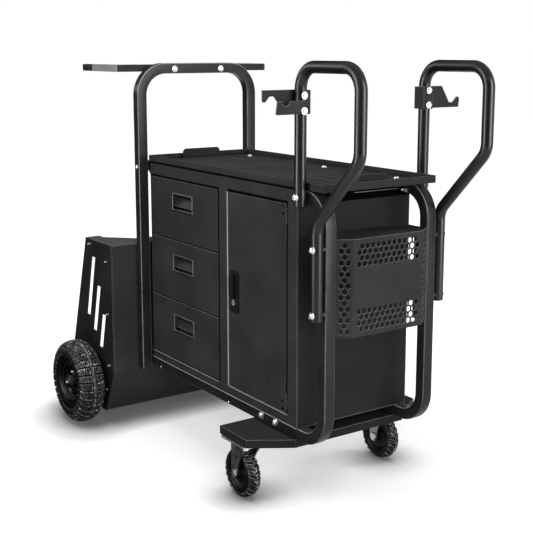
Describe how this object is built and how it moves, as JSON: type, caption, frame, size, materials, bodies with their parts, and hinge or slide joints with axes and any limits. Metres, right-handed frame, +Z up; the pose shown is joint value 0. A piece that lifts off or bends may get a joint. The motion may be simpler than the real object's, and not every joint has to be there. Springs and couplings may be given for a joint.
{
  "type": "welding cart",
  "caption": "Welding cart with a sheet cabinet of drawers and a cupboard, top tray, rear bottle rack, push bar, cable handles, swivel casters and air-filled rear wheels.",
  "frame": {"origin": "on the ground, under the middle of the cart's bounding box", "axes": "+X towards the caster end with the guard, +Y towards the plain side away from drawers and door, +Z up"},
  "size_m": [1.4027, 0.795, 1.1343],
  "materials": {
    "black_powder": "satin black powder coat with a fine texture",
    "zinc": "bright zinc plated steel",
    "tyre_rubber": "matt black rubber",
    "black_plastic": "moulded black plastic",
    "grip_grey": "light grey coated tube"
  },
  "bodies": {
    "frame": {"side_frame_left": "black_powder", "handle_left": "black_powder", "push_grip_left": "grip_grey", "push_grip_cap_left": "black_plastic", "rack_side_left": "black_powder", "stub_axle_left": "zinc", "caster_plate_left": "zinc", "side_frame_right": "black_powder", "handle_right": "black_powder", "push_grip_right": "grip_grey", "push_grip_cap_right": "black_plastic", "rack_side_right": "black_powder", "stub_axle_right": "zinc", "caster_plate_right": "zinc", "rear_hoop": "black_powder", "push_bar": "black_powder", "hook_left": "black_powder", "hook_right": "black_powder", "top_tray": "black_powder", "cabinet_shell": "black_powder", "cabinet_end_panel": "black_powder", "cabinet_divider": "black_powder", "runner_panel_rear": "zinc", "runner_panel_front": "zinc", "door_hinge_upper": "black_powder", "door_hinge_lower": "black_powder", "front_guard": "black_powder", "caster_platform": "black_powder", "rack_front_wall": "black_powder", "rack_floor": "black_powder", "rack_cradle": "black_powder"},
    "door": {"door": "black_powder", "door_hinge_leaf_upper": "black_powder", "door_hinge_leaf_lower": "black_powder", "lock_plate": "black_plastic"},
    "lock_handle": {"lock_lever": "black_plastic", "lock_cam": "zinc"},
    "lock_key": {"lock_cylinder": "zinc"},
    "drawer_1": {"drawer_1_front": "black_powder", "drawer_1_tub": "black_powder", "drawer_1_pull": "black_plastic"},
    "drawer_2": {"drawer_2_front": "black_powder", "drawer_2_tub": "black_powder", "drawer_2_pull": "black_plastic"},
    "drawer_3": {"drawer_3_front": "black_powder", "drawer_3_tub": "black_powder", "drawer_3_pull": "black_plastic"},
    "caster_left": {"caster_fork_left": "zinc", "caster_axle_left": "zinc"},
    "caster_wheel_left": {"caster_tyre_left": "tyre_rubber", "caster_rim_left": "black_plastic"},
    "rear_wheel_left": {"wheel_tyre_left": "tyre_rubber", "wheel_rim_left": "black_powder"},
    "caster_right": {"caster_fork_right": "zinc", "caster_axle_right": "zinc"},
    "caster_wheel_right": {"caster_tyre_right": "tyre_rubber", "caster_rim_right": "black_plastic"},
    "rear_wheel_right": {"wheel_tyre_right": "tyre_rubber", "wheel_rim_right": "black_powder"}
  },
  "joints": [
    {"name": "drawer_1_slide", "type": "slide", "parent": "frame", "child": "drawer_1", "axis": [0, -1, 0], "range_m": [0, 0.26]},
    {"name": "drawer_2_slide", "type": "slide", "parent": "frame", "child": "drawer_2", "axis": [0, -1, 0], "range_m": [0, 0.26]},
    {"name": "drawer_3_slide", "type": "slide", "parent": "frame", "child": "drawer_3", "axis": [0, -1, 0], "range_m": [0, 0.26]},
    {"name": "door_swing", "type": "hinge", "parent": "frame", "child": "door", "pos_m": [0.38985, -0.1805, 0.52], "axis": [0, 0, 1], "range_deg": [0, 120]},
    {"name": "lock_lever_turn", "type": "hinge", "parent": "door", "child": "lock_handle", "pos_m": [0.14855, -0.18, 0.5603], "axis": [0, 1, 0], "range_deg": [0, 90]},
    {"name": "lock_key_turn", "type": "hinge", "parent": "door", "child": "lock_key", "pos_m": [0.14855, -0.18, 0.4903], "axis": [0, 1, 0], "range_deg": [0, 90]},
    {"name": "caster_swivel_left", "type": "hinge", "parent": "frame", "child": "caster_left", "pos_m": [0.29915, -0.236, 0.16], "axis": [0, 0, 1], "continuous": true},
    {"name": "caster_roll_left", "type": "hinge", "parent": "caster_left", "child": "caster_wheel_left", "pos_m": [0.27115, -0.236, 0.066], "axis": [0, 1, 0], "continuous": true},
    {"name": "rear_wheel_roll_left", "type": "hinge", "parent": "frame", "child": "rear_wheel_left", "pos_m": [-0.50035, -0.358, 0.13], "axis": [0, 1, 0], "continuous": true},
    {"name": "caster_swivel_right", "type": "hinge", "parent": "frame", "child": "caster_right", "pos_m": [0.29915, 0.236, 0.16], "axis": [0, 0, 1], "continuous": true},
    {"name": "caster_roll_right", "type": "hinge", "parent": "caster_right", "child": "caster_wheel_right", "pos_m": [0.27115, 0.236, 0.066], "axis": [0, 1, 0], "continuous": true},
    {"name": "rear_wheel_roll_right", "type": "hinge", "parent": "frame", "child": "rear_wheel_right", "pos_m": [-0.50035, 0.358, 0.13], "axis": [0, 1, 0], "continuous": true}
  ]
}
